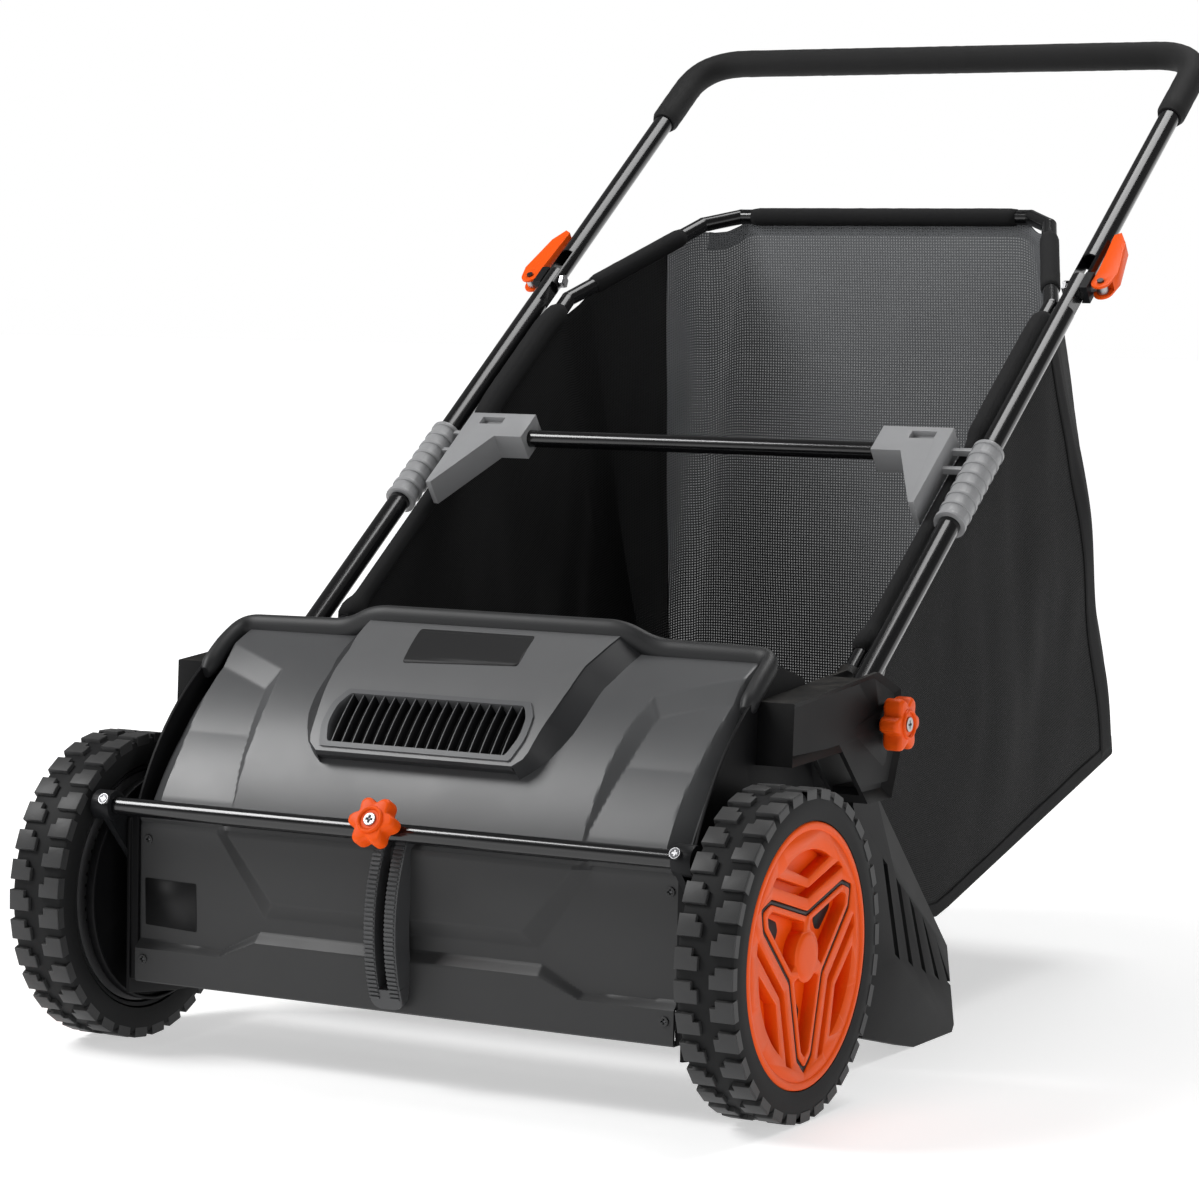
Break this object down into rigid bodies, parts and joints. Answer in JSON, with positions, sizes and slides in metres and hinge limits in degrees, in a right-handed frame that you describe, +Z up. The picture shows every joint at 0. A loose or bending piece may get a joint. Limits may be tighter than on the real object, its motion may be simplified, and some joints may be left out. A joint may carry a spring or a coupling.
{
  "type": "lawn sweeper",
  "caption": "Push lawn sweeper with two geared ground wheels, a rotary brush under a curved hood, a folding tubular handle and an open fabric collection bag.",
  "frame": {"origin": "on the floor, in the middle of the length and the width", "axes": "+Z up, -Y towards the front where the wheels are, +X to the right-hand side seen from the front"},
  "size_m": [0.67, 1.12, 0.9],
  "materials": {
    "hood_plastic": "satin dark grey moulding",
    "panel_plastic": "satin charcoal moulding",
    "vent_plastic": "satin mid grey",
    "frame_plastic": "fine grained black",
    "black_tube": "gloss black enamel on steel tube",
    "zinc": "bright zinc plate",
    "dark_pin": "blackened steel",
    "nylon": "natural nylon",
    "gear_plastic": "acetal, dull",
    "tyre_plastic": "matte black tread",
    "orange_plastic": "satin gloss orange",
    "clip_plastic": "mid grey moulding",
    "foam": "matte closed-cell foam",
    "brush_plastic": "black polypropylene",
    "bristle": "stiff black nylon bristle",
    "bag_fabric": "black woven polyester mesh"
  },
  "bodies": {
    "root": {"front_panel": "panel_plastic", "hood": "hood_plastic", "vent_grille": "vent_plastic", "side_plate_left": "frame_plastic", "side_plate_right": "frame_plastic", "height_quadrant": "frame_plastic", "rear_bracket_left": "frame_plastic", "rear_bracket_right": "frame_plastic", "rear_tie_rod": "black_tube", "shaft_bushes": "nylon", "bracket_bolts": "zinc", "bracket_screws": "zinc", "panel_screws": "panel_plastic"},
    "wheel_carrier": {"wheel_arm_left": "frame_plastic", "wheel_arm_right": "frame_plastic", "front_bar": "black_tube", "bar_screws": "zinc", "stub_axles": "zinc", "axle_nuts": "zinc", "gear_cover_left": "frame_plastic", "gear_cover_right": "frame_plastic", "height_bolt": "zinc"},
    "height_knob": {"height_knob": "orange_plastic"},
    "wheel_left": {"tyre_left": "tyre_plastic", "wheel_disc_left": "orange_plastic", "ring_gear_left": "gear_plastic", "wheel_bush_left": "nylon", "hub_cap_left": "orange_plastic"},
    "wheel_right": {"tyre_right": "tyre_plastic", "wheel_disc_right": "orange_plastic", "ring_gear_right": "gear_plastic", "wheel_bush_right": "nylon", "hub_cap_right": "orange_plastic"},
    "brush": {"brush_shaft": "zinc", "brush_core": "brush_plastic", "bristle_strips": "bristle", "drive_pins": "zinc", "pinion_right": "gear_plastic"},
    "left_pinion": {"pinion_left": "gear_plastic"},
    "lower_handle": {"lower_tube_left": "black_tube", "lower_tube_right": "black_tube", "cross_tube": "black_tube", "corner_clip_left": "clip_plastic", "corner_clip_right": "clip_plastic"},
    "upper_handle": {"upper_handle": "black_tube", "foam_grip": "foam", "lever_bolts": "zinc", "cam_saddles": "frame_plastic", "cam_pins": "dark_pin"},
    "cam_lever_left": {"cam_lever_left": "orange_plastic"},
    "cam_lever_right": {"cam_lever_right": "orange_plastic"},
    "bracket_knob_left": {"bracket_knob_left": "orange_plastic"},
    "bracket_knob_right": {"bracket_knob_right": "orange_plastic"},
    "bag": {"bag_frame": "black_tube", "bag": "bag_fabric"}
  },
  "joints": [
    {"name": "height_adjust", "type": "hinge", "parent": "root", "child": "wheel_carrier", "pos_m": [0, -0.367, 0.13], "axis": [1, 0, 0], "range_deg": [0, 45]},
    {"name": "height_knob_turn", "type": "hinge", "parent": "wheel_carrier", "child": "height_knob", "pos_m": [0, -0.52519, 0.21589], "axis": [0, -0.8788, 0.4772], "continuous": true},
    {"name": "wheel_left_spin", "type": "hinge", "parent": "wheel_carrier", "child": "wheel_left", "pos_m": [-0.31, -0.43, 0.13], "axis": [1, 0, 0], "continuous": true},
    {"name": "wheel_right_spin", "type": "hinge", "parent": "wheel_carrier", "child": "wheel_right", "pos_m": [0.31, -0.43, 0.13], "axis": [1, 0, 0], "continuous": true},
    {"name": "brush_spin", "type": "hinge", "parent": "wheel_carrier", "child": "brush", "pos_m": [0, -0.367, 0.13], "axis": [1, 0, 0], "continuous": true},
    {"name": "left_pinion_spin", "type": "hinge", "parent": "wheel_carrier", "child": "left_pinion", "pos_m": [-0.296, -0.367, 0.13], "axis": [1, 0, 0], "continuous": true},
    {"name": "lower_fold", "type": "hinge", "parent": "root", "child": "lower_handle", "pos_m": [0, -0.20787, 0.28835], "axis": [1, 0, 0], "range_deg": [0, 45]},
    {"name": "upper_fold", "type": "hinge", "parent": "lower_handle", "child": "upper_handle", "pos_m": [0, 0.22928, 0.65164], "axis": [1, 0, 0], "range_deg": [0, 140]},
    {"name": "cam_lever_left_swing", "type": "hinge", "parent": "upper_handle", "child": "cam_lever_left", "pos_m": [-0.302, 0.22928, 0.65164], "axis": [0, -0.5948, 0.8039], "range_deg": [0, 100]},
    {"name": "cam_lever_right_swing", "type": "hinge", "parent": "upper_handle", "child": "cam_lever_right", "pos_m": [0.302, 0.22928, 0.65164], "axis": [0, -0.5948, 0.8039], "range_deg": [-100, 0]},
    {"name": "bracket_knob_left_turn", "type": "hinge", "parent": "root", "child": "bracket_knob_left", "pos_m": [-0.306, -0.20787, 0.28835], "axis": [1, 0, 0], "continuous": true},
    {"name": "bracket_knob_right_turn", "type": "hinge", "parent": "root", "child": "bracket_knob_right", "pos_m": [0.306, -0.20787, 0.28835], "axis": [1, 0, 0], "continuous": true},
    {"name": "bag_slide", "type": "slide", "parent": "root", "child": "bag", "axis": [0, 0.8039, 0.5948], "range_m": [0, 0.12]}
  ],
  "couplings": [
    {"joint": "brush_spin", "follows": "wheel_right_spin", "ratio": 4},
    {"joint": "left_pinion_spin", "follows": "wheel_left_spin", "ratio": 4}
  ]
}
